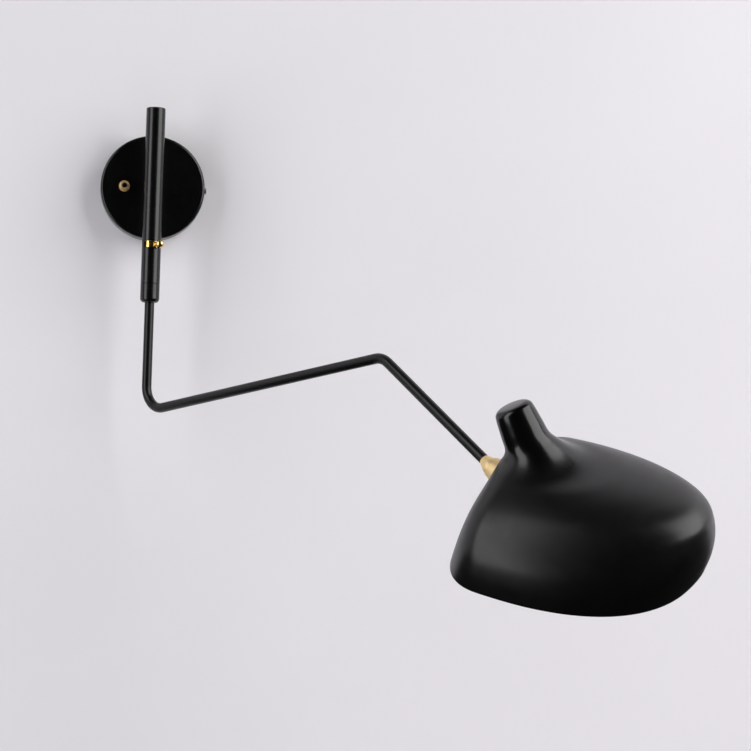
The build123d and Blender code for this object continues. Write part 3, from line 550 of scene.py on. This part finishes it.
WALL_GAP = 0.0006
WALL_HALF = 3.2
WALL_TOP = 2.4
WALL_FOOT = -0.45
FLOOR_DROP = -1.5
COVE = 0.5
COVE_STEPS = 24
FLOOR_REACH = 4.0


def stage_material():
    """Pale paint that shows only from the room's side."""
    mat, tree, shader = new_material("pale_wall")
    clouded_colour(tree, shader, (0.80, 0.785, 0.815), (0.82, 0.805, 0.835), scale=3.0, detail=3.0)
    shader.inputs["Roughness"].default_value = 0.9
    shader.inputs["Specular IOR Level"].default_value = 0.1
    clear = tree.nodes.new("ShaderNodeBsdfTransparent")
    side = tree.nodes.new("ShaderNodeNewGeometry")
    mix = tree.nodes.new("ShaderNodeMixShader")
    link(tree, side.outputs["Backfacing"], mix.inputs["Fac"])
    link(tree, shader.outputs["BSDF"], mix.inputs[1])
    link(tree, clear.outputs["BSDF"], mix.inputs[2])
    link(tree, mix.outputs["Shader"], tree.nodes["Material Output"].inputs["Surface"])
    return mat


def stage_sheet(name, profile, mat):
    """A wide sheet that follows a line of depths and heights, and casts no shadow."""
    points = [(x, y, z) for y, z in profile for x in (-WALL_HALF, WALL_HALF)]
    faces = [(2 * k, 2 * k + 2, 2 * k + 3, 2 * k + 1) for k in range(len(profile) - 1)]
    sheet = smooth_object(name, points, faces, [mat])
    sheet.visible_shadow = False
    return sheet


def floor_profile():
    """Depths and heights from the wall's foot, round the cove and out along the floor."""
    profile = [(WALL_GAP, WALL_FOOT)]
    for step in range(COVE_STEPS + 1):
        turn = pi / 2 * step / COVE_STEPS
        profile.append((WALL_GAP - COVE * (1 - cos(turn)), FLOOR_DROP + COVE * (1 - sin(turn))))
    profile.append((-FLOOR_REACH, FLOOR_DROP))
    return profile


pale_wall = stage_material()
stage_sheet("stage_wall", [(WALL_GAP, WALL_TOP), (WALL_GAP, WALL_FOOT)], pale_wall)
stage_floor = stage_sheet("stage_floor", floor_profile(), pale_wall)
stage_floor.visible_glossy = False


# Light: a wide soft box to the right, a tall one to the left, and a dim even room

LIGHT_AIM = Vector((0.15, -0.2, -0.2))
ROOM_COLOUR = (0.96, 0.95, 1.0, 1)
ROOM_STRENGTH = 0.02
SEEN_COLOUR = (0.70, 0.685, 0.72, 1)
SEEN_STRENGTH = 1.0


def soft_box(name, azimuth, elevation, distance, width, height, watts, colour):
    """An area light aimed at the lamp.

    The azimuth is measured to the right from straight out of the wall.
    """
    turn = radians(azimuth)
    rise = radians(elevation)
    way = Vector((sin(turn) * cos(rise), -cos(turn) * cos(rise), sin(rise)))
    data = bpy.data.lights.new(name, "AREA")
    data.shape = "RECTANGLE"
    data.size = width
    data.size_y = height
    data.energy = watts
    data.color = colour
    light = bpy.data.objects.new(name, data)
    light.location = LIGHT_AIM + way * distance
    light.rotation_euler = (-way).to_track_quat("-Z", "Y").to_euler()
    bpy.context.scene.collection.objects.link(light)


def even_room():
    """A dim light from all sides, which the camera sees as pale where no stage is in view."""
    world = bpy.data.worlds.new("room")
    world.use_nodes = True
    bpy.context.scene.world = world
    tree = world.node_tree
    dim = tree.nodes["Background"]
    dim.inputs["Color"].default_value = ROOM_COLOUR
    dim.inputs["Strength"].default_value = ROOM_STRENGTH
    seen = tree.nodes.new("ShaderNodeBackground")
    seen.inputs["Color"].default_value = SEEN_COLOUR
    seen.inputs["Strength"].default_value = SEEN_STRENGTH
    path = tree.nodes.new("ShaderNodeLightPath")
    blend = tree.nodes.new("ShaderNodeMixShader")
    link(tree, path.outputs["Is Camera Ray"], blend.inputs["Fac"])
    link(tree, dim.outputs["Background"], blend.inputs[1])
    link(tree, seen.outputs["Background"], blend.inputs[2])
    link(tree, blend.outputs["Shader"], tree.nodes["World Output"].inputs["Surface"])


soft_box(
    "key_right", azimuth=60, elevation=26, distance=2.6,
    width=2.3, height=2.8, watts=82.0, colour=(1.0, 0.985, 0.98),
)
soft_box(
    "fill_left", azimuth=-62, elevation=8, distance=2.6,
    width=1.3, height=4.0, watts=53.0, colour=(0.98, 0.985, 1.0),
)
even_room()


# Camera at the photograph's place

CAMERA_PLACE = Vector((-62.9, -2495.8, -290.1)) * MM
CAMERA_YAW = radians(7.07)
CAMERA_PITCH = radians(2.28)
CAMERA_ROLL = radians(1.74)
FOCAL_PIXELS = 2332.5
PHOTO_WIDTH = 751
SENSOR_WIDTH = 36.0
CLIP_END = 50.0


def photo_camera():
    """The camera, turned from looking straight at the wall by its yaw, pitch and roll."""
    look = Vector((
        sin(CAMERA_YAW) * cos(CAMERA_PITCH),
        cos(CAMERA_YAW) * cos(CAMERA_PITCH),
        sin(CAMERA_PITCH),
    ))
    flat_right = Vector((cos(CAMERA_YAW), -sin(CAMERA_YAW), 0))
    flat_up = flat_right.cross(look)
    right = flat_right * cos(CAMERA_ROLL) + flat_up * sin(CAMERA_ROLL)
    upward = flat_up * cos(CAMERA_ROLL) - flat_right * sin(CAMERA_ROLL)
    data = bpy.data.cameras.new("camera")
    data.sensor_fit = "HORIZONTAL"
    data.sensor_width = SENSOR_WIDTH
    data.lens = FOCAL_PIXELS / PHOTO_WIDTH * SENSOR_WIDTH
    data.clip_end = CLIP_END
    camera = bpy.data.objects.new("camera", data)
    camera.matrix_world = Matrix((
        (right.x, upward.x, -look.x, CAMERA_PLACE.x),
        (right.y, upward.y, -look.y, CAMERA_PLACE.y),
        (right.z, upward.z, -look.z, CAMERA_PLACE.z),
        (0, 0, 0, 1),
    ))
    bpy.context.scene.collection.objects.link(camera)
    bpy.context.scene.camera = camera


photo_camera()
bpy.context.scene.view_settings.view_transform = "Standard"
